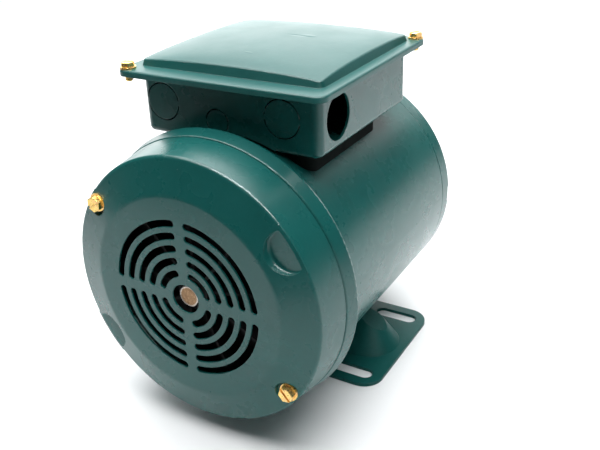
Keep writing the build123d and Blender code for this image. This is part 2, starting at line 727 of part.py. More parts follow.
COLLAR_START, COLLAR_END = -70.8, -57.6
SPRING_SEAT = -65.0
with BuildPart() as governor_collar:
    with BuildSketch(SIDE):
        Polygon(
            (COLLAR_START, 10.05),
            (COLLAR_START, 20.0),
            (COLLAR_START + 1.6, 20.0),
            (COLLAR_START + 1.6, 14.4),
            (-63.4, 14.4),
            (-63.4, 17.5),
            (-62.2, 17.5),
            (-62.2, 14.4),
            (-58.8, 14.4),
            (-58.8, 17.5),
            (COLLAR_END, 17.5),
            (COLLAR_END, 12.9),
            (SPRING_SEAT, 12.9),
            (SPRING_SEAT, 10.05),
            align=None,
        )
    revolve(axis=SHAFT_AXIS)
save(governor_collar, "governor_collar")

SPRING_COILS, SPRING_WIRE, SPRING_RADIUS = 4, 0.5, 11.4
with BuildPart() as governor_spring:
    coil_start = SPRING_SEAT + SPRING_WIRE + 0.1
    coil_length = PLATE_START - coil_start - SPRING_WIRE - 0.1
    with BuildLine():
        coil = Helix(
            coil_length / SPRING_COILS,
            coil_length,
            SPRING_RADIUS,
            center=(0, coil_start, SHAFT_HEIGHT),
            direction=(0, 1, 0),
        )
    with BuildSketch(Plane(origin=coil @ 0, z_dir=coil % 0)):
        Circle(SPRING_WIRE)
    sweep(is_frenet=True)
save(governor_spring, "governor_spring")

# ---- stationary start switch inside the fan-end shield ------------------------------------------
BOARD = 1.6
ARM_HALF = 4.0
with BuildPart() as switch_board:
    with BuildSketch(facing(SWITCH_BOARD)) as board:
        Circle(50.0)
        Circle(28.0, mode=Mode.SUBTRACT)
        with Locations((0, -33)):
            Rectangle(120, 90, mode=Mode.SUBTRACT)
        fillet(board.vertices(), 2.0)
        with Locations(SWITCH_STANDOFFS):
            Circle(SWITCH_SCREW + 0.1, mode=Mode.SUBTRACT)
    extrude(amount=-BOARD)
save(switch_board, "switch_board")

with BuildPart() as switch_screws:
    with BuildSketch(facing(SWITCH_BOARD + BOARD)):
        with Locations(SWITCH_STANDOFFS):
            Circle(2 * SWITCH_SCREW)
    extrude(amount=-2.0)
    with BuildSketch(facing(SWITCH_BOARD + BOARD)):
        with Locations(SWITCH_STANDOFFS):
            Circle(SWITCH_SCREW)
    extrude(amount=8.0)
save(switch_screws, "switch_screws")

with BuildPart() as switch_bracket:
    with BuildSketch(facing(SWITCH_BOARD + BOARD)):
        with Locations((0, SWITCH_PIVOT_RADIUS + 4.5)):
            Rectangle(13.4, 4.0)
        with Locations((0, SWITCH_PIVOT_RADIUS + 1.6)):
            with GridLocations(12.2, 0, 2, 1):
                Rectangle(1.2, 6.4)
    extrude(amount=-0.8)
    with BuildSketch(facing(SWITCH_BOARD + BOARD)):
        with Locations((0, SWITCH_PIVOT_RADIUS)):
            with GridLocations(12.2, 0, 2, 1):
                Rectangle(1.2, 3.2)
    extrude(amount=-3.2)
    with BuildSketch(Plane.YZ):
        with Locations((SWITCH_PIVOT_STATION, SHAFT_HEIGHT + SWITCH_PIVOT_RADIUS)):
            Circle(0.6)
    extrude(amount=6.6, both=True)
save(switch_bracket, "switch_bracket")

ARM_TIP = 16.5
with BuildPart() as switch_arm:
    with BuildSketch(Plane.YZ):
        with Locations((SWITCH_PIVOT_STATION, SHAFT_HEIGHT + SWITCH_PIVOT_RADIUS)):
            Circle(1.2)
        Polygon(
            (COLLAR_START - 0.9, SHAFT_HEIGHT + ARM_TIP),
            (COLLAR_START - 0.1, SHAFT_HEIGHT + ARM_TIP),
            (SWITCH_PIVOT_STATION + 0.5, SHAFT_HEIGHT + SWITCH_PIVOT_RADIUS),
            (SWITCH_PIVOT_STATION - 0.5, SHAFT_HEIGHT + SWITCH_PIVOT_RADIUS),
            align=None,
        )
        with Locations((SWITCH_PIVOT_STATION, SHAFT_HEIGHT + SWITCH_PIVOT_RADIUS)):
            Circle(0.65, mode=Mode.SUBTRACT)
    extrude(amount=ARM_HALF, both=True)
save(switch_arm, "switch_arm")

CONTACT_RADIUS = 31.5
TERMINAL_TABS = (-22.0, 22.0)
TAB_WIDTH, TAB_SHEET, TAB_BEND = 6.3, 0.8, 36.6
with BuildPart() as switch_contacts:
    with BuildSketch(facing(SWITCH_BOARD + BOARD)):
        with Locations((0, CONTACT_RADIUS)):
            Circle(1.8)
    extrude(amount=-0.9)
    for across in TERMINAL_TABS:
        with BuildSketch(facing(SWITCH_BOARD + BOARD)):
            with Locations((across, TAB_BEND - 3.6)):
                Rectangle(TAB_WIDTH, 8.0)
        extrude(amount=-TAB_SHEET)
        with BuildSketch(facing(SWITCH_BOARD + BOARD)):
            with Locations((across, TAB_BEND)):
                Rectangle(TAB_WIDTH, TAB_SHEET)
        extrude(amount=-7.0)
save(switch_contacts, "switch_contacts")

PROTECTOR_PLACES = ring_places(57.0, (205.0,))
PROTECTOR_START, PROTECTOR_LENGTH, PROTECTOR_RADIUS = -61.5, 9.6, 8.5
with BuildPart() as thermal_protector:
    with BuildSketch(facing(PROTECTOR_START)):
        with Locations(PROTECTOR_PLACES):
            Circle(PROTECTOR_RADIUS)
    extrude(amount=-PROTECTOR_LENGTH)
    fillet(thermal_protector.edges().filter_by(GeomType.CIRCLE), 1.5)
    with BuildSketch(facing(PROTECTOR_START)):
        with Locations(PROTECTOR_PLACES):
            with GridLocations(7.0, 0, 2, 1):
                Rectangle(0.8, 5.0)
    extrude(amount=6.0)
save(thermal_protector, "thermal_protector")

# ---- saddle pad and conduit box ------------------------------------------------------------------
PAD_HALF, PAD_START, PAD_END = 47.0, -72.0, 13.0
CREST = SHELL_RADIUS + PAD
FLOOR_HALF = 29.5
PAD_TRIM = 0.02


def saddle_strip(inner, outer, half_width, start, end):
    """A strip of a tube around the shaft axis, over the crest of the shell."""
    with BuildPart() as strip:
        with BuildSketch(facing(start)):
            Circle(outer)
            Circle(inner, mode=Mode.SUBTRACT)
            Rectangle(2 * half_width, outer + 1, align=(Align.CENTER, Align.MIN), mode=Mode.INTERSECT)
        extrude(amount=start - end)
    return strip.part


pad_crest = saddle_strip(SHELL_RADIUS, CREST, FLOOR_HALF, PAD_START, PAD_END)
with BuildPart() as saddle_pad:
    with BuildSketch(Plane.XY.offset(BOX_BOTTOM)):
        with Locations((0, (PAD_START + PAD_END) / 2)):
            RectangleRounded(2 * PAD_HALF, PAD_END - PAD_START, 9.0)
    extrude(amount=-16)
    add(pad_crest)
    with BuildSketch(facing(PAD_START - 1)):
        Circle(SHELL_RADIUS + PAD_TRIM)
    extrude(amount=PAD_START - PAD_END - 2, mode=Mode.SUBTRACT)
    with BuildSketch(Plane.XY.offset(BOX_BOTTOM - 20)):
        with Locations((0, LEAD_HOLE_Y)):
            Circle(LEAD_HOLE)
        with Locations(BOX_SCREWS):
            Circle(SCREW_RADIUS + 0.05)
    extrude(amount=60, mode=Mode.SUBTRACT)
save(saddle_pad, "saddle_pad")

FLANGE_X, FLANGE_FRONT, FLANGE_BACK = 125.8, -86.4, 41.1
COVER_SCREWS = [(-59.6, -83.0), (59.6, 37.7)]
GROUND_SCREW = (44.0, 16.0)
KNOCKOUT_GAP, KNOCKOUT_TIE = 0.7, 9
FRONT_KNOCKOUTS = (((34.2, 178.5), 10.6), ((-42.3, 178.2), 10.6), ((-6.5, 171.4), 7.0))


def knockout(radius):
    """Two narrow arcs punched through the sheet that leave a disc held by two ties."""
    for start in (KNOCKOUT_TIE, 180 + KNOCKOUT_TIE):
        arc = Edge.make_circle(radius, start_angle=start, end_angle=start + 180 - 2 * KNOCKOUT_TIE)
        SlotArc(arc, KNOCKOUT_GAP)


floor_crest = saddle_strip(CREST, CREST + BOX_WALL, FLOOR_HALF, BOX_FRONT, BOX_BACK)
with BuildPart() as conduit_box:
    with BuildSketch(Plane.XY.offset(BOX_BOTTOM)):
        with Locations((0, BOX_MIDDLE)):
            RectangleRounded(BOX_X, BOX_BACK - BOX_FRONT, BOX_CORNER)
    extrude(amount=BOX_TOP - BOX_BOTTOM)
    fillet(conduit_box.faces().sort_by(Axis.Z)[0].edges(), BOX_FILLET)
    with BuildSketch(Plane.XY.offset(BOX_TOP - BOX_WALL)):
        with Locations((0, (FLANGE_FRONT + FLANGE_BACK) / 2)):
            RectangleRounded(FLANGE_X, FLANGE_BACK - FLANGE_FRONT, 5.0)
    extrude(amount=BOX_WALL)
    with BuildSketch(Plane.XY.offset(BOX_BOTTOM + BOX_WALL)):
        with Locations((0, BOX_MIDDLE)):
            RectangleRounded(
                BOX_X - 2 * BOX_WALL, BOX_BACK - BOX_FRONT - 2 * BOX_WALL, BOX_CORNER - BOX_WALL
            )
    extrude(amount=BOX_TOP - BOX_BOTTOM, mode=Mode.SUBTRACT)
    with BuildSketch(facing(BOX_FRONT)):
        Circle(CREST)
    extrude(amount=BOX_FRONT - BOX_BACK, mode=Mode.SUBTRACT)
    add(floor_crest)
    with BuildSketch(Plane.XY.offset(BOX_BOTTOM - 20)):
        with Locations((0, LEAD_HOLE_Y)):
            Circle(LEAD_HOLE)
        with Locations(BOX_SCREWS):
            Circle(SCREW_RADIUS + 0.25)
        with Locations(GROUND_SCREW):
            Circle(SCREW_RADIUS + 0.05)
    extrude(amount=32, mode=Mode.SUBTRACT)
    with BuildSketch(Plane.XY.offset(BOX_TOP - 2 * BOX_WALL)):
        with Locations(COVER_SCREWS):
            Circle(SCREW_RADIUS + 0.05)
    extrude(amount=3 * BOX_WALL, mode=Mode.SUBTRACT)
    with BuildSketch(Plane.YZ.offset(BOX_X / 2 - 2 * BOX_WALL)):
        with Locations((CONDUIT_Y, CONDUIT_Z)):
            Circle(CONDUIT_RADIUS)
    extrude(amount=3 * BOX_WALL, mode=Mode.SUBTRACT)
    for place, radius in FRONT_KNOCKOUTS:
        with BuildSketch(Plane((place[0], BOX_FRONT, place[1]), x_dir=(1, 0, 0), z_dir=(0, -1, 0))):
            knockout(radius)
        extrude(amount=BOX_WALL + 0.5, both=True, mode=Mode.SUBTRACT)
    with BuildSketch(Plane.YZ.offset(-BOX_X / 2)):
        with Locations((CONDUIT_Y, CONDUIT_Z)):
            knockout(CONDUIT_RADIUS)
    extrude(amount=BOX_WALL + 0.5, both=True, mode=Mode.SUBTRACT)
save(conduit_box, "conduit_box")

# ---- conduit cover: flange, turned-down lip, pan with a full crown --------------------------------
LID_CORNER, LID_FILLET = 6.0, 1.4
PAN_X, PAN_FRONT, PAN_BACK, PAN_CORNER, PAN_DRAFT = 115.0, -75.7, 33.0, 4.0, 20
PAN_MIDDLE = (PAN_FRONT + PAN_BACK) / 2
CROWN_EDGE, CROWN_RISE, CROWN_POWER = 199.0, 7.5, 0.4
CROWN_X, CROWN_Y = 58.6, 55.6     # half spans at which the crown runs out
CROWN_FILLET = 1.2


def crown_height(across, along):
    """Height of the pan's top at fractions -1 to 1 of the crown's half spans."""
    return CROWN_EDGE + CROWN_RISE * ((1 - across**2) * (1 - along**2)) ** CROWN_POWER


def pan_form(inset):
    """The pan as a solid, inset on every side: drafted walls under the crown."""
    steps = [sin(radians(angle)) for angle in range(-84, 85, 6)]
    points = [
        [(CROWN_X * u, PAN_MIDDLE + CROWN_Y * v, crown_height(u, v) - inset) for v in steps]
        for u in steps
    ]
    crown = Face.make_surface_from_array_of_points(points, tol=0.01)
    width, length = PAN_X - 2 * inset, PAN_BACK - PAN_FRONT - 2 * inset
    with BuildPart() as pan:
        with BuildSketch(Plane.XY.offset(LID_TOP - inset)):
            with Locations((0, PAN_MIDDLE)):
                RectangleRounded(width, length, PAN_CORNER - inset)
        extrude(amount=14, taper=PAN_DRAFT)
        extrude(crown, amount=20, dir=(0, 0, -1), mode=Mode.INTERSECT)
        fillet(pan.faces().sort_by(Axis.Z)[-1].edges(), CROWN_FILLET - inset / 2)
    return pan.part


pan_outside, pan_inside = pan_form(0), pan_form(SHEET)
with BuildPart() as conduit_cover:
    with BuildSketch(Plane.XY.offset(LID_LIP)):
        with Locations((0, LID_MIDDLE)):
            RectangleRounded(LID_X, LID_BACK - LID_FRONT, LID_CORNER)
    extrude(amount=LID_TOP - LID_LIP)
    fillet(conduit_cover.faces().sort_by(Axis.Z)[-1].edges(), LID_FILLET)
    add(pan_outside)
    with BuildSketch(Plane.XY.offset(LID_LIP)):
        with Locations((0, LID_MIDDLE)):
            RectangleRounded(
                LID_X - 2 * SHEET, LID_BACK - LID_FRONT - 2 * SHEET, LID_CORNER - SHEET
            )
    extrude(amount=LID_TOP - LID_LIP - SHEET, mode=Mode.SUBTRACT)
    add(pan_inside, mode=Mode.SUBTRACT)
    with BuildSketch(Plane.XY.offset(LID_LIP)):
        with Locations(COVER_SCREWS):
            Circle(SCREW_RADIUS + 0.25)
    extrude(amount=8, mode=Mode.SUBTRACT)
save(conduit_cover, "conduit_cover")

with BuildPart() as cover_gasket:
    with BuildSketch(Plane.XY.offset(BOX_TOP)):
        with Locations((0, (FLANGE_FRONT + FLANGE_BACK) / 2)):
            RectangleRounded(FLANGE_X - 1, FLANGE_BACK - FLANGE_FRONT - 1, 4.5)
        with Locations((0, BOX_MIDDLE)):
            Rectangle(BOX_X - 6, BOX_BACK - BOX_FRONT - 6, mode=Mode.SUBTRACT)
        with Locations(COVER_SCREWS):
            Circle(SCREW_RADIUS + 0.25, mode=Mode.SUBTRACT)
    extrude(amount=LID_TOP - SHEET - BOX_TOP)
save(cover_gasket, "cover_gasket")

COVER_SCREW_TURNS = (15.0, 60.0)
cover_screw = slotted_hex_screw(SCREW_RADIUS, 7.2, 4.6, 7.0, 3.8)
with BuildPart() as conduit_cover_screws:
    for place, turn in zip(COVER_SCREWS, COVER_SCREW_TURNS):
        with Locations(Location((place[0], place[1], LID_TOP), (0, 0, turn))):
            add(cover_screw)
save(conduit_cover_screws, "conduit_cover_screws")

# ---- inside the conduit box ------------------------------------------------------------------------
FLOOR_TOP = SHAFT_HEIGHT + CREST + BOX_WALL
with BuildPart() as box_fixing_screws:
    with BuildSketch(Plane.XY.offset(FLOOR_TOP)):
        with Locations(BOX_SCREWS):
            Circle(4.5)
    extrude(amount=2.6)
    with BuildSketch(Plane.XY.offset(FLOOR_TOP)):
        with Locations(BOX_SCREWS):
            Circle(SCREW_RADIUS)
    extrude(amount=-5.4)
save(box_fixing_screws, "box_fixing_screws")

with BuildPart() as lead_grommet:
    with BuildSketch(Plane.XY.offset(FLOOR_TOP + 1.5)):
        with Locations((0, LEAD_HOLE_Y)):
            Circle(7.9)
            Circle(5.5, mode=Mode.SUBTRACT)
    extrude(amount=-9)
    with BuildSketch(Plane.XY.offset(FLOOR_TOP)):
        with Locations((0, LEAD_HOLE_Y)):
            Circle(10.5)
            Circle(5.5, mode=Mode.SUBTRACT)
    extrude(amount=2.5)
save(lead_grommet, "lead_grommet")

TERMINAL_Y, TERMINAL_BASE = 8.0, 176.0
TERMINALS = [(x, TERMINAL_Y) for x in (-21.0, -7.0, 7.0, 21.0)]
BOARD_X, BOARD_Y, BOARD_THICKNESS = 76.0, 26.0, 3.0
BOARD_LEG, BOARD_LEGS = 3.5, 67.0
POST_FLATS, POST_NUT, POST_LENGTH, POST_THREAD = 7.0, 2.5, 14.0, 1.95
with BuildPart() as terminal_board:
    with BuildSketch(Plane.XY.offset(TERMINAL_BASE)):
        with Locations((0, TERMINAL_Y)):
            RectangleRounded(BOARD_X, BOARD_Y, 3.0)
        with Locations(TERMINALS):
            Circle(POST_THREAD + 0.05, mode=Mode.SUBTRACT)
    extrude(amount=BOARD_THICKNESS)
    with BuildSketch(Plane.XY.offset(TERMINAL_BASE)):
        with Locations((0, TERMINAL_Y)):
            with GridLocations(BOARD_LEGS, 0, 2, 1):
                Circle(BOARD_LEG)
    extrude(amount=BOX_BOTTOM + BOX_WALL - TERMINAL_BASE)
save(terminal_board, "terminal_board")

NUT_TOP = TERMINAL_BASE + BOARD_THICKNESS + POST_NUT
with BuildPart() as terminal_posts:
    for nut_base in (TERMINAL_BASE - POST_NUT, TERMINAL_BASE + BOARD_THICKNESS):
        with BuildSketch(Plane.XY.offset(nut_base)):
            with Locations(TERMINALS):
                RegularPolygon(POST_FLATS / 2, 6, major_radius=False)
        extrude(amount=POST_NUT)
    with BuildSketch(Plane.XY.offset(TERMINAL_BASE - POST_NUT)):
        with Locations(TERMINALS):
            Circle(POST_THREAD)
    extrude(amount=POST_LENGTH)
save(terminal_posts, "terminal_posts")

ground_screw_form = slotted_hex_screw(SCREW_RADIUS, 4.0, 4.6, 7.0, 3.8)
with BuildPart() as ground_screw:
    with Locations(Location((*GROUND_SCREW, BOX_BOTTOM + BOX_WALL), (0, 0, 20))):
        add(ground_screw_form)
save(ground_screw, "ground_screw")

# ---- motor leads: out of the grommet, up and over to a ring tongue on each terminal post -----------
LEAD_RADIUS = 1.4
LEAD_NAMES = ("lead_black", "lead_red", "lead_blue", "lead_white")
LEAD_FEET = [(-3.2, -0.8), (-1.1, 2.4), (1.9, 1.9), (3.1, -1.6)]   # within the grommet
LEAD_START = FLOOR_TOP - 6
TONGUE, TONGUE_RADIUS = 0.8, 4.4
for name, foot, terminal in zip(LEAD_NAMES, LEAD_FEET, TERMINALS):
    start = (foot[0], LEAD_HOLE_Y + foot[1])
    with BuildPart() as lead:
        with BuildLine():
            FilletPolyline(
                (start[0], start[1], LEAD_START),
                (start[0], start[1], NUT_TOP + 4),
                (terminal[0], TERMINAL_Y - 12, NUT_TOP + 4),
                (terminal[0], TERMINAL_Y - 3.4, NUT_TOP + 2 * TONGUE),
                radius=(8.0, 6.0),
            )
        with BuildSketch(Plane.XY.offset(LEAD_START)):
            with Locations(start):
                Circle(LEAD_RADIUS)
        sweep()
        with BuildSketch(Plane.XY.offset(NUT_TOP)):
            with Locations(terminal):
                Circle(TONGUE_RADIUS)
            with Locations((terminal[0], TERMINAL_Y - 4)):
                Rectangle(3.4, 4.0)
            with Locations(terminal):
                Circle(POST_THREAD + 0.15, mode=Mode.SUBTRACT)
        extrude(amount=TONGUE)
    save(lead, name)
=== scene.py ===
"""The looks of a small enamelled electric motor: finishes, fine detail, light and camera.

Everything is in metres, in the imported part's own frame: the shaft lies along Y, the fan end
faces -Y and the feet stand on z = 0.
"""
import json
import math
import random

import bmesh
import bpy
from mathutils import Matrix, Vector


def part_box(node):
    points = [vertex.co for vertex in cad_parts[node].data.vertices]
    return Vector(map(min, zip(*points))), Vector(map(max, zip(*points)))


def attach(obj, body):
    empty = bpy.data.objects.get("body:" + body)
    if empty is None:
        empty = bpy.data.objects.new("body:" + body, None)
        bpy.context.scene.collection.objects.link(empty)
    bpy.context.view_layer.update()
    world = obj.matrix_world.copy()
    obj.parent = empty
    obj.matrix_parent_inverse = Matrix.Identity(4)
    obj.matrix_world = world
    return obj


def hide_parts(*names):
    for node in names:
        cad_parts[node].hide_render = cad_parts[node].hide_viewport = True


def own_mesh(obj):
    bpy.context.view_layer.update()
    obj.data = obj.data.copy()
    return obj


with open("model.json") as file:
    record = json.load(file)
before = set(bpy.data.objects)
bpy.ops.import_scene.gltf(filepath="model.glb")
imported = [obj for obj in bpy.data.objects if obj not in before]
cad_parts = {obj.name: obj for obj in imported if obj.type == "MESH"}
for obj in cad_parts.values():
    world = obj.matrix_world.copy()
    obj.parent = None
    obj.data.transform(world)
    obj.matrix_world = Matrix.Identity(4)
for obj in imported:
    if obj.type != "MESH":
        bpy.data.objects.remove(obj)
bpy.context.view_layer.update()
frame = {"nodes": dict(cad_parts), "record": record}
NODES = frame["nodes"]
MM = 0.001
SHAFT_HEIGHT = 88.9 * MM

# ---- camera ----------------------------------------------------------------------------------
CAMERA_PLACE = Vector((0.2410, -0.4109, 0.3130))
CAMERA_TURN = math.radians(31.5)
CAMERA_TILT = math.radians(24.8)
CAMERA_ROLL = math.radians(-2.4)
CAMERA_LENS, CAMERA_SENSOR = 48.55, 36.0
CAMERA_SHIFT = (0.01935, -0.03687)


def make_camera():
    """The camera, turned, tilted down and rolled to the angle the motor is seen from."""
    data = bpy.data.cameras.new("camera")
    data.lens = CAMERA_LENS
    data.sensor_width = CAMERA_SENSOR
    data.shift_x, data.shift_y = CAMERA_SHIFT
    data.clip_start, data.clip_end = 0.01, 50.0
    camera = bpy.data.objects.new("camera", data)
    bpy.context.scene.collection.objects.link(camera)
    turn = Matrix.Rotation(CAMERA_TURN, 4, "Z")
    tilt = Matrix.Rotation(math.pi / 2 - CAMERA_TILT, 4, "X")
    roll = Matrix.Rotation(CAMERA_ROLL, 4, "Z")
    camera.matrix_world = Matrix.Translation(CAMERA_PLACE) @ turn @ tilt @ roll
    bpy.context.scene.camera = camera


# ---- finishes --------------------------------------------------------------------------------
class Finish:
    """A material under construction: a principled shader, and calls that feed its sockets."""

    def __init__(self, name, colour, roughness, metallic=0.0, **fixed):
        self.material = bpy.data.materials.new(name)
        self.material.use_nodes = True
        self.nodes = self.material.node_tree.nodes
        self.links = self.material.node_tree.links
        self.shader = self.nodes["Principled BSDF"]
        self.shader.inputs["Base Color"].default_value = (*colour, 1.0)
        self.shader.inputs["Roughness"].default_value = roughness
        self.shader.inputs["Metallic"].default_value = metallic
        for socket, value in fixed.items():
            self.shader.inputs[socket.replace("_", " ")].default_value = value
        self.place = self.nodes.new("ShaderNodeTexCoord").outputs["Object"]
        self.colour = None
        self.roughness = None
        self.normal = None

    def scaled(self, x, y, z):
        """Object coordinates stretched by a factor along each axis."""
        node = self.nodes.new("ShaderNodeMapping")
        node.inputs["Scale"].default_value = (x, y, z)
        self.links.new(self.place, node.inputs["Vector"])
        return node.outputs["Vector"]

    def noise(self, scale, detail=3.0, place=None):
        """Cloudy noise, finer with a larger scale and busier with more detail."""
        node = self.nodes.new("ShaderNodeTexNoise")
        node.inputs["Scale"].default_value = scale
        node.inputs["Detail"].default_value = detail
        self.links.new(place or self.place, node.inputs["Vector"])
        return node.outputs["Fac"]

    def cells(self, scale):
        """Distance to the nearest of many scattered points."""
        node = self.nodes.new("ShaderNodeTexVoronoi")
        node.inputs["Scale"].default_value = scale
        self.links.new(self.place, node.inputs["Vector"])
        return node.outputs["Distance"]

    def spot(self, centre, radii):
        """1 at the middle of an ellipsoid, falling to 0 at its surface."""
        moved = self.nodes.new("ShaderNodeVectorMath")
        moved.operation = "SUBTRACT"
        moved.inputs[1].default_value = centre
        self.links.new(self.place, moved.inputs[0])
        sized = self.nodes.new("ShaderNodeVectorMath")
        sized.operation = "DIVIDE"
        sized.inputs[1].default_value = radii
        self.links.new(moved.outputs[0], sized.inputs[0])
        length = self.nodes.new("ShaderNodeVectorMath")
        length.operation = "LENGTH"
        self.links.new(sized.outputs[0], length.inputs[0])
        node = self.nodes.new("ShaderNodeMapRange")
        node.interpolation_type = "SMOOTHSTEP"
        node.inputs["From Min"].default_value = 1.0
        node.inputs["From Max"].default_value = 0.0
        self.links.new(length.outputs["Value"], node.inputs["Value"])
        return node.outputs["Result"]

    def ramp(self, value, low, high, start=0.0, end=1.0):
        """Maps low..high to start..end, held flat outside."""
        node = self.nodes.new("ShaderNodeMapRange")
        node.inputs["From Min"].default_value = low
        node.inputs["From Max"].default_value = high
        node.inputs["To Min"].default_value = start
        node.inputs["To Max"].default_value = end
        self.links.new(value, node.inputs["Value"])
        return node.outputs["Result"]

    def maths(self, operation, first, second):
        """A sum or product of two values, either of which may be a plain number."""
        node = self.nodes.new("ShaderNodeMath")
        node.operation = operation
        for socket, value in zip(node.inputs, (first, second)):
            if isinstance(value, (int, float)):
                socket.default_value = value
            else:
                self.links.new(value, socket)
        return node.outputs["Value"]

    def tint(self, mask, colour):
        """Lays a colour over what is there, where the mask is 1."""
        node = self.nodes.new("ShaderNodeMix")
        node.data_type = "RGBA"
        base = self.shader.inputs["Base Color"]
        if self.colour is None:
            node.inputs["A"].default_value = base.default_value
        else:
            self.links.new(self.colour, node.inputs["A"])
        node.inputs["B"].default_value = (*colour, 1.0)
        self.links.new(mask, node.inputs["Factor"])
        self.colour = node.outputs["Result"]
        self.links.new(self.colour, base)
        return self

    def rub(self, mask, roughness):
        """Brings the roughness to a value where the mask is 1."""
        node = self.nodes.new("ShaderNodeMix")
        socket = self.shader.inputs["Roughness"]
        if self.roughness is None:
            node.inputs["A"].default_value = socket.default_value
        else:
            self.links.new(self.roughness, node.inputs["A"])
        node.inputs["B"].default_value = roughness
        self.links.new(mask, node.inputs["Factor"])
        self.roughness = node.outputs["Result"]
        self.links.new(self.roughness, socket)
        return self

    def soften_edges(self, radius):
        """Rounds the shading of sharp edges by a radius."""
        node = self.nodes.new("ShaderNodeBevel")
        node.samples = 4
        node.inputs["Radius"].default_value = radius
        self.normal = node.outputs["Normal"]
        self.links.new(self.normal, self.shader.inputs["Normal"])
        return self

    def relief(self, height, depth):
        """Bump of a real depth in metres."""
        node = self.nodes.new("ShaderNodeBump")
        node.inputs["Strength"].default_value = 1.0
        node.inputs["Distance"].default_value = depth
        self.links.new(height, node.inputs["Height"])
        if self.normal is not None:
            self.links.new(self.normal, node.inputs["Normal"])
        self.normal = node.outputs["Normal"]
        self.links.new(self.normal, self.shader.inputs["Normal"])
        return self


ENAMEL = (0.0040, 0.088, 0.080)
ENAMEL_DEEP = (0.0030, 0.072, 0.066)
ENAMEL_PALE = (0.014, 0.115, 0.108)


def enamel(name, roughness=0.26, specular=0.40, dings=()):
    """Deep green stove enamel: cloudy tone, orange peel, specks of dust and any shallow dings."""
    f = Finish(name, ENAMEL, roughness, Specular_IOR_Level=specular)
    f.tint(f.ramp(f.noise(18.0, 4.0), 0.40, 0.75), ENAMEL_DEEP)
    f.tint(f.ramp(f.noise(420.0, 2.0), 0.50, 0.80, 0.0, 0.25), ENAMEL_PALE)
    specks = f.maths("MULTIPLY", f.ramp(f.cells(130.0), 0.035, 0.02), f.ramp(f.noise(35.0), 0.52, 0.56))
    f.tint(f.maths("MULTIPLY", specks, 0.5), (0.45, 0.50, 0.48))
    f.rub(f.ramp(f.noise(60.0, 5.0), 0.35, 0.75), roughness + 0.05)
    f.soften_edges(0.5 * MM)
    f.relief(f.noise(620.0, 1.0), 0.016 * MM)
    f.relief(f.noise(70.0, 1.0), 0.030 * MM)
    for centre, radii, depth in dings:
        f.relief(f.spot(centre, radii), depth)
    return f.material


def zinc(name, colour, blush):
    """A plated or bright metal with a mottled blush."""
    f = Finish(name, colour, 0.26, 1.0)
    f.tint(f.ramp(f.noise(260.0, 4.0), 0.45, 0.72, 0.0, 0.7), blush)
    f.rub(f.ramp(f.noise(900.0, 3.0), 0.4, 0.7), 0.42)
    f.soften_edges(0.15 * MM)
    f.relief(f.noise(1500.0, 2.0), 0.012 * MM)
    return f.material


def ground_steel(name, roughness, rubbed, groove, brown_end=None):
    """Ground steel with fine turning marks, browned by oil and heat near one end if it is given."""
    f = Finish(name, (0.46, 0.44, 0.41), roughness, 1.0)
    f.tint(f.ramp(f.noise(120.0, 5.0), 0.5, 0.8, 0.0, 0.6), (0.33, 0.25, 0.19))
    if brown_end:
        centre, radius = brown_end
        end = f.ramp(f.spot(centre, (radius, radius, radius)), 0.0, 0.12)
        f.tint(end, (0.20, 0.125, 0.07))
        grime = f.ramp(f.noise(350.0, 4.0), 0.45, 0.75, 0.0, 0.8)
        f.tint(f.maths("MULTIPLY", end, grime), (0.11, 0.06, 0.03))
    f.rub(f.ramp(f.noise(800.0, 2.0), 0.4, 0.7), rubbed)
    f.soften_edges(0.15 * MM)
    f.relief(f.noise(900.0, 2.0, place=f.scaled(0.05, 6.0, 0.05)), groove)
    return f.material


def black_oxide(name):
    """Blackened spring steel."""
    f = Finish(name, (0.012, 0.012, 0.013), 0.5, 0.6)
    f.tint(f.ramp(f.noise(300.0, 4.0), 0.45, 0.75), (0.02, 0.018, 0.017))
    f.relief(f.noise(1100.0, 2.0), 0.01 * MM)
    return f.material


def lamination_steel(name):
    """Stacked sheets, seen as fine dark lines across the shaft's direction."""
    f = Finish(name, (0.20, 0.21, 0.23), 0.42, 0.9)
    f.tint(f.ramp(f.noise(1800.0, 1.0, place=f.scaled(0.01, 1.0, 0.01)), 0.45, 0.6), (0.06, 0.06, 0.07))
    f.relief(f.noise(1800.0, 1.0, place=f.scaled(0.01, 1.0, 0.01)), 0.05 * MM)
    return f.material


def cast_aluminium(name):
    """A dull casting with a grainy skin."""
    f = Finish(name, (0.60, 0.61, 0.62), 0.45, 0.9)
    f.tint(f.ramp(f.noise(150.0, 5.0), 0.45, 0.8), (0.42, 0.42, 0.43))
    f.relief(f.noise(700.0, 3.0), 0.05 * MM)
    return f.material


def enamelled_copper(name):
    """Magnet wire under a clear varnish."""
    f = Finish(name, (0.55, 0.17, 0.05), 0.30, 0.85, Coat_Weight=0.6)
    f.tint(f.ramp(f.noise(90.0, 4.0), 0.4, 0.8), (0.38, 0.10, 0.03))
    f.relief(f.noise(1200.0, 2.0), 0.03 * MM)
    return f.material


def paper(name, colour, shade):
    """Insulation paper or fibre gasket."""
    f = Finish(name, colour, 0.75)
    f.tint(f.ramp(f.noise(300.0, 5.0), 0.4, 0.75), shade)
    f.relief(f.noise(1600.0, 4.0), 0.03 * MM)
    return f.material


def rubber(name, colour):
    """Matt moulded rubber."""
    f = Finish(name, colour, 0.8, Specular_IOR_Level=0.05)
    f.tint(f.ramp(f.noise(220.0, 4.0), 0.45, 0.8), tuple(1.6 * c for c in colour))
    f.relief(f.noise(900.0, 3.0), 0.04 * MM)
    return f.material


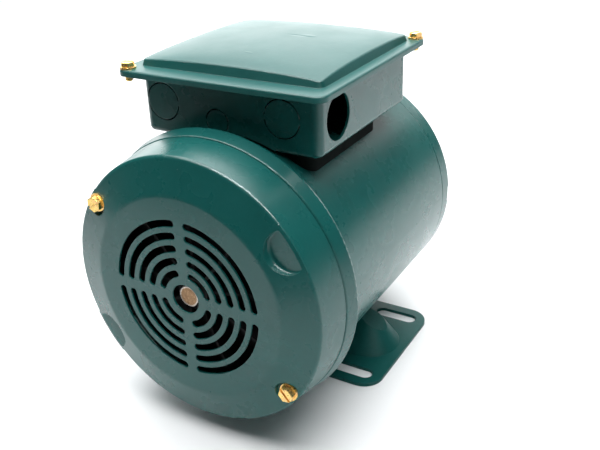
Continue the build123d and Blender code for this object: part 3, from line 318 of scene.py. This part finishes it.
def plastic(name, colour, roughness=0.38, specular=0.5):
    """Moulded plastic, phenolic board or a wire's insulation."""
    f = Finish(name, colour, roughness, Specular_IOR_Level=specular)
    f.tint(f.ramp(f.noise(160.0, 4.0), 0.45, 0.8), tuple(1.5 * c + 0.004 for c in colour))
    f.rub(f.ramp(f.noise(500.0, 3.0), 0.4, 0.7), roughness + 0.12)
    f.relief(f.noise(1100.0, 2.0), 0.02 * MM)
    return f.material


FINISHES = {
    "green_enamel": enamel("green_enamel"),
    "yellow_zinc": zinc("yellow_zinc", (0.86, 0.60, 0.20), (0.80, 0.45, 0.25)),
    "bare_steel": ground_steel("bare_steel", 0.24, 0.38, 0.010 * MM),
    "zinc_steel": zinc("zinc_steel", (0.62, 0.63, 0.64), (0.50, 0.52, 0.56)),
    "laminations": lamination_steel("laminations"),
    "cast_aluminium": cast_aluminium("cast_aluminium"),
    "enamelled_copper": enamelled_copper("enamelled_copper"),
    "insulation_paper": paper("insulation_paper", (0.62, 0.55, 0.40), (0.50, 0.42, 0.28)),
    "black_rubber": rubber("black_rubber", (0.0015, 0.004, 0.0035)),
    "gasket_fibre": paper("gasket_fibre", (0.05, 0.05, 0.048), (0.03, 0.03, 0.03)),
    "black_plastic": plastic("black_plastic", (0.006, 0.006, 0.0065), 0.55, 0.15),
    "phenolic_board": plastic("phenolic_board", (0.14, 0.06, 0.025)),
    "brass": zinc("brass", (0.78, 0.57, 0.24), (0.62, 0.42, 0.16)),
    "green_zinc": zinc("green_zinc", (0.25, 0.52, 0.25), (0.30, 0.50, 0.20)),
    "wire_black": plastic("wire_black", (0.012, 0.012, 0.012)),
    "wire_red": plastic("wire_red", (0.42, 0.02, 0.015)),
    "wire_blue": plastic("wire_blue", (0.02, 0.06, 0.35)),
    "wire_white": plastic("wire_white", (0.70, 0.70, 0.67)),
}


LID_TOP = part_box("conduit_cover")[1][2]
LID_DINGS = (
    ((0.0095, -0.0166, LID_TOP), (0.0085, 0.0020, 0.004), -0.22 * MM),
    ((0.0165, -0.0142, LID_TOP), (0.0060, 0.0030, 0.004), 0.30 * MM),
    ((0.0025, -0.0558, LID_TOP), (0.0035, 0.0011, 0.006), 0.20 * MM),
)
SHAFT_BARE_END = (0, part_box("shaft")[0][1], SHAFT_HEIGHT), 6.2 * MM
OWN_FINISHES = {
    "conduit_cover": enamel("cover_enamel", 0.34, dings=LID_DINGS),
    "foot_base": enamel("base_enamel", 0.38, 0.16),
    "shaft": ground_steel("oiled_steel", 0.26, 0.42, 0.012 * MM, SHAFT_BARE_END),
    "fan_retaining_ring": black_oxide("black_oxide"),
}


def finish_nodes():
    """Gives every carried-over node the finish of its own material slot."""
    for part in frame["record"]["subparts"]:
        name = part["node"]
        node = NODES[name]
        node.data.materials.clear()
        node.data.materials.append(OWN_FINISHES.get(name) or FINISHES[part["material_slot"]])


# ---- fine pieces -----------------------------------------------------------------------------
def add_piece(name, bm, body, slot):
    """Makes a smooth-shaded piece of what was drawn, with its slot's finish, riding on a body."""
    bmesh.ops.recalc_face_normals(bm, faces=bm.faces)
    mesh = bpy.data.meshes.new(name)
    bm.to_mesh(mesh)
    bm.free()
    mesh.polygons.foreach_set("use_smooth", [True] * len(mesh.polygons))
    mesh.materials.append(FINISHES[slot])
    piece = bpy.data.objects.new(name, mesh)
    bpy.context.scene.collection.objects.link(piece)
    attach(piece, body)
    return piece


def add_tube(bm, rings, closed=False):
    """Joins rings of points into a tube, with capped ends unless it closes on itself."""
    loops = [[bm.verts.new(point) for point in ring] for ring in rings]
    count = len(loops[0])
    last = len(loops) if closed else len(loops) - 1
    for index in range(last):
        here, there = loops[index], loops[(index + 1) % len(loops)]
        for k in range(count):
            nxt = (k + 1) % count
            bm.faces.new((here[k], here[nxt], there[nxt], there[k]))
    if not closed:
        bm.faces.new(reversed(loops[0]))
        bm.faces.new(loops[-1])


# Lengths named here are in millimetres and are multiplied by MM where they are used.
THREAD_STEPS = 24              # per turn of thread
THREAD_HEIGHT, THREAD_FOOT = 0.32, 0.42     # the ridge's height and half its foot, in pitches
COVER_SCREWS = ((-59.6, -83.0), (59.6, 37.7))
COVER_SHEET = 1.5
BOLT_CIRCLE = 67.0
BOLT_TURNS = (45, 135, 225, 315)
POSTS, POST_STATION = (-21.0, -7.0, 7.0, 21.0), 8.0


def add_thread(bm, foot, axis, length, radius, pitch):
    """A cut thread's ridge winding up a shank, fading in and out at its ends."""
    axis = Vector(axis).normalized()
    across = axis.orthogonal().normalized()
    steps = int(THREAD_STEPS * length / pitch)
    half_foot = THREAD_FOOT * pitch
    root = radius - 0.1 * MM
    rings = []
    for step in range(steps + 1):
        angle = 2 * math.pi * step / THREAD_STEPS
        out = Matrix.Rotation(angle, 3, axis) @ across
        fade = min(1.0, step / 12, (steps - step) / 12)
        middle = Vector(foot) + axis * (length * step / steps)
        crest = radius + THREAD_HEIGHT * pitch * fade
        rings.append(
            [
                middle + out * root - axis * half_foot,
                middle + out * radius - axis * half_foot,
                middle + out * crest,
                middle + out * radius + axis * half_foot,
                middle + out * root + axis * half_foot,
            ]
        )
    add_tube(bm, rings)


def screw_threads():
    """Threads on the ends that show: the cover's screws, the through bolts and the terminal posts."""
    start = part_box("conduit_cover_screws")[0][2] + 0.5 * MM
    flange_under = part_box("conduit_box")[1][2] - COVER_SHEET * MM
    bm = bmesh.new()
    for x, y in COVER_SCREWS:
        add_thread(bm, (x * MM, y * MM, start), (0, 0, 1), flange_under - start, 2.05 * MM, 0.8 * MM)
    add_piece("cover_screw_threads", bm, "housing", "yellow_zinc")
    bolt_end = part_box("through_bolts")[1][1]
    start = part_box("through_bolt_nuts")[1][1] + 0.3 * MM
    bm = bmesh.new()
    for turn in BOLT_TURNS:
        foot = around(BOLT_CIRCLE * MM, start, math.radians(turn))
        add_thread(bm, foot, (0, 1, 0), bolt_end - start - 0.3 * MM, 2.4 * MM, 0.6 * MM)
    add_piece("through_bolt_threads", bm, "housing", "zinc_steel")
    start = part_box("terminal_posts")[1][2] - 5.0 * MM
    bm = bmesh.new()
    for x in POSTS:
        add_thread(bm, (x * MM, POST_STATION * MM, start), (0, 0, 1), 4.6 * MM, 1.95 * MM, 0.7 * MM)
    add_piece("terminal_post_threads", bm, "housing", "brass")


def around(radius, station, angle):
    """A point at a radius and station about the shaft."""
    return Vector(
        (radius * math.cos(angle), station, SHAFT_HEIGHT + radius * math.sin(angle))
    )


def ring_outline(radii, stations):
    """The rounded section of an end-turn ring, as a place for each share of the way round it."""
    inner, outer = radii
    start, stop = stations
    corner = 0.42 * min(outer - inner, stop - start)
    middle_r, middle_s = (inner + outer) / 2, (start + stop) / 2
    half_r, half_s = (outer - inner) / 2 - corner, (stop - start) / 2 - corner
    corner_steps = 6
    outline = []
    for index, (side_r, side_s) in enumerate(((1, 1), (-1, 1), (-1, -1), (1, -1))):
        for step in range(corner_steps + 1):
            angle = math.pi / 2 * (index + step / corner_steps)
            r = middle_r + side_r * half_r + corner * math.cos(angle)
            s = middle_s + side_s * half_s + corner * math.sin(angle)
            outline.append((r, s))
    lengths = [0.0]
    for (r0, s0), (r1, s1) in zip(outline, outline[1:] + outline[:1]):
        lengths.append(lengths[-1] + math.hypot(r1 - r0, s1 - s0))

    def place(share):
        want = share % 1.0 * lengths[-1]
        for index in range(len(outline)):
            if want <= lengths[index + 1]:
                break
        part = (want - lengths[index]) / max(lengths[index + 1] - lengths[index], 1e-9)
        here, there = outline[index], outline[(index + 1) % len(outline)]
        return here[0] + part * (there[0] - here[0]), here[1] + part * (there[1] - here[1])

    return place


WIRE_SIDES, STRAND_STEPS = 5, 72
TIES, TIE_STEPS = 24, 28
TIE_WIDTH, TIE_SHEET = 0.9, 0.25     # half width and half thickness of the lacing tape


def strands(name, place, wire, rows, seed):
    """Rows of magnet wire wound round an end-turn ring, each wandering a little."""
    rng = random.Random(seed)
    bm = bmesh.new()
    for row in range(rows):
        phase, swing = rng.uniform(0, 2 * math.pi), rng.uniform(0.2, 0.45) / rows
        rings = []
        for step in range(STRAND_STEPS):
            angle = 2 * math.pi * step / STRAND_STEPS
            r, s = place(row / rows + swing * math.sin(3 * angle + phase))
            rings.append(
                [
                    around(r + wire * math.cos(t), s + wire * math.sin(t), angle)
                    for t in (2 * math.pi * k / WIRE_SIDES for k in range(WIRE_SIDES))
                ]
            )
        add_tube(bm, rings, closed=True)
    add_piece(name + "_strands", bm, "housing", "enamelled_copper")


def lacing(name, place, middle, wire):
    """The tape that ties an end-turn ring's strands together, drawn just outside them."""
    bm = bmesh.new()
    for tie in range(TIES):
        angle = 2 * math.pi * (tie + 0.5) / TIES
        rings = []
        for step in range(TIE_STEPS):
            away = Vector(place(step / TIE_STEPS)) - middle
            r, s = middle + away * (1 + 1.6 * wire / away.length)
            out_r, out_s = away.normalized() * TIE_SHEET * MM
            width = TIE_WIDTH * MM / r
            rings.append(
                [
                    around(r - out_r, s - out_s, angle - width),
                    around(r + out_r, s + out_s, angle - width * 0.6),
                    around(r + out_r, s + out_s, angle + width * 0.6),
                    around(r - out_r, s - out_s, angle + width),
                ]
            )
        add_tube(bm, rings, closed=True)
    add_piece(name + "_lacing", bm, "housing", "insulation_paper")


def windings():
    """Both windings' end turns at both ends of the stack."""
    for coil, radii, overhang, wire, rows in (
        ("main_winding", (53.6, 63.4), 17.0, 0.45, 52),
        ("start_winding", (46.8, 53.2), 13.0, 0.35, 46),
    ):
        start, stop = (corner[1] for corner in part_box(coil))
        ends = {"fan_end": (start, start + overhang * MM), "drive_end": (stop - overhang * MM, stop)}
        span = (radii[0] * MM, radii[1] * MM)
        for end, stations in ends.items():
            name = f"{coil}_{end}"
            place = ring_outline(span, stations)
            middle = Vector((sum(span) / 2, sum(stations) / 2))
            strands(name, place, wire * MM, rows, seed=len(coil + end))
            lacing(name, place, middle, wire * MM)


SPRING_WIRE = 0.5
ACTIVE_COILS, COIL_STEPS = 3, 36


def return_spring():
    """The governor's return spring, a coil with a closed turn at each end, which the collar presses."""
    low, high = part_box("governor_spring")
    wire = SPRING_WIRE * MM
    radius = (high[0] - low[0]) / 2 - wire
    start, stop = low[1] + wire, high[1] - wire
    closed_pitch = 2.1 * wire
    open_pitch = (stop - start - 2 * closed_pitch) / ACTIVE_COILS
    rings = []
    for step in range(COIL_STEPS * (ACTIVE_COILS + 2) + 1):
        turns = step / COIL_STEPS
        station = start + closed_pitch * min(turns, 1.0)
        station += open_pitch * min(max(turns - 1.0, 0.0), ACTIVE_COILS)
        station += closed_pitch * max(turns - 1.0 - ACTIVE_COILS, 0.0)
        rings.append(
            [
                around(radius + wire * math.cos(t), station + wire * math.sin(t), 2 * math.pi * turns)
                for t in (math.pi / 4 * k for k in range(8))
            ]
        )
    bm = bmesh.new()
    add_tube(bm, rings)
    spring = add_piece("governor_return_spring", bm, "rotor", "bare_steel")
    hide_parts("governor_spring")
    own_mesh(spring)


# ---- floor and light -------------------------------------------------------------------------
ROOM_COLOUR = (0.95, 0.96, 0.97, 1.0)
FLOOR_HALF, FLOOR_REACH = 8.0, 2.2      # the floor takes on the room's tone by its reach
ROOM_RADIUS = 7.5
FLAG_PLACE, FLAG_HALF, FLAG_TOP = -0.37, 1.5, 1.0
SKY_COLOUR, SKY_STRENGTH = (0.93, 0.97, 1.0, 1.0), 0.06


def add_stage(name, mesh, finish):
    """An object that isn't part of the motor."""
    mesh.materials.append(finish.material)
    thing = bpy.data.objects.new(name, mesh)
    bpy.context.scene.collection.objects.link(thing)
    return thing


def quad(name, corners):
    """A mesh of one flat face."""
    mesh = bpy.data.meshes.new(name)
    mesh.from_pydata(corners, [], [(0, 1, 2, 3)])
    return mesh


def make_floor():
    """A pale floor that fades into the room's own tone away from the motor."""
    f = Finish("floor", (0.90, 0.91, 0.92), 0.9)
    f.tint(f.ramp(f.noise(6.0, 3.0), 0.4, 0.8), (0.88, 0.89, 0.91))
    far = f.ramp(f.spot((0, 0, 0), (FLOOR_REACH, FLOOR_REACH, FLOOR_REACH)), 0.0, 0.5, 1.0, 0.0)
    f.tint(far, (0, 0, 0))
    f.shader.inputs["Emission Color"].default_value = ROOM_COLOUR
    f.links.new(far, f.shader.inputs["Emission Strength"])
    half = FLOOR_HALF
    corners = [(-half, -half, 0), (half, -half, 0), (half, half, 0), (-half, half, 0)]
    add_stage("floor", quad("floor", corners), f)


def make_dome():
    """A pale room far round the motor, which only the camera sees."""
    bm = bmesh.new()
    bmesh.ops.create_icosphere(bm, subdivisions=4, radius=ROOM_RADIUS)
    mesh = bpy.data.meshes.new("dome")
    bm.to_mesh(mesh)
    bm.free()
    f = Finish("dome", (0, 0, 0), 1.0, Emission_Strength=1.0)
    f.shader.inputs["Emission Color"].default_value = ROOM_COLOUR
    f.tint(f.noise(2.0), (0.01, 0.01, 0.01))
    dome = add_stage("dome", mesh, f)
    dome.visible_diffuse = dome.visible_glossy = dome.visible_shadow = False


def make_flag():
    """A dark card in front of the motor that keeps the room's light off its front, as in a studio."""
    f = Finish("flag", (0.02, 0.02, 0.02), 0.9)
    f.tint(f.noise(30.0), (0.015, 0.015, 0.015))
    foot = 2.0 * MM
    corners = [
        (-FLAG_HALF, FLAG_PLACE, foot),
        (FLAG_HALF, FLAG_PLACE, foot),
        (FLAG_HALF, FLAG_PLACE, FLAG_TOP),
        (-FLAG_HALF, FLAG_PLACE, FLAG_TOP),
    ]
    flag = add_stage("flag", quad("flag", corners), f)
    flag.visible_camera = False
    flag.visible_shadow = False


def panel(name, place, target, size, strength, lights=True):
    """A soft panel of a given radiance, aimed at a point. One that doesn't light is only reflected."""
    data = bpy.data.lights.new(name, "AREA")
    data.shape = "RECTANGLE"
    data.size, data.size_y = size
    data.energy = strength * size[0] * size[1] * math.pi
    light = bpy.data.objects.new(name, data)
    bpy.context.scene.collection.objects.link(light)
    aim = Vector(target) - Vector(place)
    light.rotation_mode = "QUATERNION"
    light.rotation_quaternion = aim.to_track_quat("-Z", "Y")
    light.location = place
    light.visible_camera = False
    light.visible_diffuse = lights


def make_light():
    """A dim room, three soft panels, and a narrow one that only the enamel's gloss picks up."""
    scene = bpy.context.scene
    scene.view_settings.view_transform = "Standard"
    scene.world = bpy.data.worlds.new("world")
    scene.world.use_nodes = True
    sky = scene.world.node_tree.nodes["Background"]
    sky.inputs["Color"].default_value = SKY_COLOUR
    sky.inputs["Strength"].default_value = SKY_STRENGTH
    panel("overhead", (-0.15, 0.28, 1.0), (0, 0.05, 0), (1.3, 0.9), 5.6)
    panel("backdrop", (-1.0, 2.2, 0.8), (0, 0, 0.1), (4.5, 1.6), 3.0)
    panel("near", (0.15, -0.38, 1.2), (0.12, -0.28, 0), (1.5, 0.40), 7.5)
    panel("strip", (0.15, -0.34, 1.0), (0.12, -0.12, 0), (1.6, 0.10), 60.0, lights=False)


make_camera()
finish_nodes()
screw_threads()
windings()
return_spring()
make_floor()
make_dome()
make_flag()
make_light()
